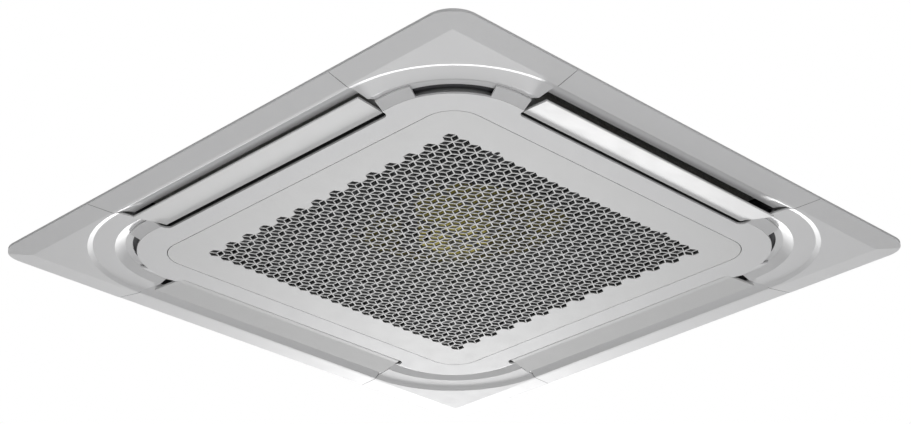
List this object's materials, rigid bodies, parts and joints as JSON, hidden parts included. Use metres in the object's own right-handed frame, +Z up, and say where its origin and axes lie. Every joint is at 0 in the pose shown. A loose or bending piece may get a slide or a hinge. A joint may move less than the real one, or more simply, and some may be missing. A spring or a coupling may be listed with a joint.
{
  "type": "ceiling cassette air conditioner",
  "caption": "Ceiling cassette air conditioner: square panel with hinged flaps and a drop-down return grille under a cabinet with fan, heat exchanger and drain pump",
  "frame": {"origin": "centre of the ceiling opening, in the plane of the ceiling's lower surface", "axes": "+Z points up into the ceiling; the grille hinges on the +Y side and latches on the -Y side; pipes and drain leave on the +X side"},
  "size_m": [0.95, 0.95, 0.2943],
  "materials": {
    "panel_white": "satin",
    "flap_white": "satin",
    "grille_white": "satin",
    "plastic_grey": "satin",
    "fan_olive": "satin",
    "net_dark": "woven",
    "galvanised": "galvanised",
    "steel": "zinc plated",
    "dark_paint": "satin",
    "foam_white": "rough",
    "foam_black": "rough",
    "rubber_black": "rough",
    "copper": "satin",
    "brass": "satin",
    "fins": "brushed",
    "board_green": "satin"
  },
  "bodies": {
    "unit": {"panel_frame": "panel_white", "grille_box": "panel_white", "outlet_ducts": "panel_white", "corner_bases": "panel_white", "side_strips": "panel_white", "corner_cover_1": "panel_white", "corner_cover_2": "panel_white", "corner_cover_3": "panel_white", "corner_cover_4": "panel_white", "flap_motor_1": "plastic_grey", "flap_motor_2": "plastic_grey", "flap_motor_3": "plastic_grey", "flap_motor_4": "plastic_grey", "panel_seal": "foam_black", "panel_screws": "steel", "cabinet_sides": "galvanised", "cabinet_top": "galvanised", "cable_plates": "steel", "foam_liner": "foam_white", "drain_pan": "foam_white", "hanger_bracket_1": "galvanised", "hanger_bracket_2": "galvanised", "hanger_bracket_3": "galvanised", "hanger_bracket_4": "galvanised", "bell_mouth": "dark_paint", "bell_screws": "steel", "fan_motor": "dark_paint", "motor_bracket": "steel", "motor_mounts": "rubber_black", "motor_bolts": "steel", "coil_fins": "fins", "coil_end_plates": "galvanised", "coil_bends": "copper", "gas_pipe": "copper", "liquid_pipe": "copper", "flare_unions": "brass", "drain_pump": "plastic_grey", "drain_outlet": "plastic_grey", "float_switch": "plastic_grey", "control_box": "galvanised", "control_board": "board_green", "control_cover": "dark_paint", "room_sensor": "rubber_black"},
    "flap_1_body": {"flap_1": "flap_white"},
    "flap_2_body": {"flap_2": "flap_white"},
    "flap_3_body": {"flap_3": "flap_white"},
    "flap_4_body": {"flap_4": "flap_white"},
    "grille_door": {"grille": "grille_white", "grille_frame": "grille_white", "filter_frame": "plastic_grey", "filter_net": "net_dark"},
    "latch_1_body": {"latch_1": "plastic_grey"},
    "latch_2_body": {"latch_2": "plastic_grey"},
    "fan_rotor": {"fan": "fan_olive", "fan_blades": "fan_olive", "fan_shroud": "fan_olive", "fan_shaft": "steel", "hub_nut": "steel"},
    "pump_rotor": {"pump_impeller": "foam_white"},
    "float_body": {"float": "foam_white"}
  },
  "joints": [
    {"name": "flap_1_swing", "type": "hinge", "parent": "unit", "child": "flap_1_body", "pos_m": [0.36, 0, 0.016], "axis": [0, 1, 0], "range_deg": [0, 40]},
    {"name": "flap_2_swing", "type": "hinge", "parent": "unit", "child": "flap_2_body", "pos_m": [0, 0.36, 0.016], "axis": [-1, 0, 0], "range_deg": [0, 40]},
    {"name": "flap_3_swing", "type": "hinge", "parent": "unit", "child": "flap_3_body", "pos_m": [-0.36, 0, 0.016], "axis": [0, -1, 0], "range_deg": [0, 40]},
    {"name": "flap_4_swing", "type": "hinge", "parent": "unit", "child": "flap_4_body", "pos_m": [0, -0.36, 0.016], "axis": [1, 0, 0], "range_deg": [-6, 34]},
    {"name": "grille_hinge", "type": "hinge", "parent": "unit", "child": "grille_door", "pos_m": [0, 0.3212, -0.0026], "axis": [1, 0, 0], "range_deg": [0, 90]},
    {"name": "latch_1_slide", "type": "slide", "parent": "grille_door", "child": "latch_1_body", "axis": [0, -1, 0], "range_m": [0, 0.006]},
    {"name": "latch_2_slide", "type": "slide", "parent": "grille_door", "child": "latch_2_body", "axis": [0, -1, 0], "range_m": [0, 0.006]},
    {"name": "fan_spin", "type": "hinge", "parent": "unit", "child": "fan_rotor", "pos_m": [0, 0, 0.1], "axis": [0, 0, 1], "continuous": true},
    {"name": "pump_spin", "type": "hinge", "parent": "unit", "child": "pump_rotor", "pos_m": [0.312, 0.312, 0.055], "axis": [0, 0, 1], "continuous": true},
    {"name": "float_rise", "type": "slide", "parent": "unit", "child": "float_body", "axis": [0, 0, 1], "range_m": [0, 0.01]}
  ]
}
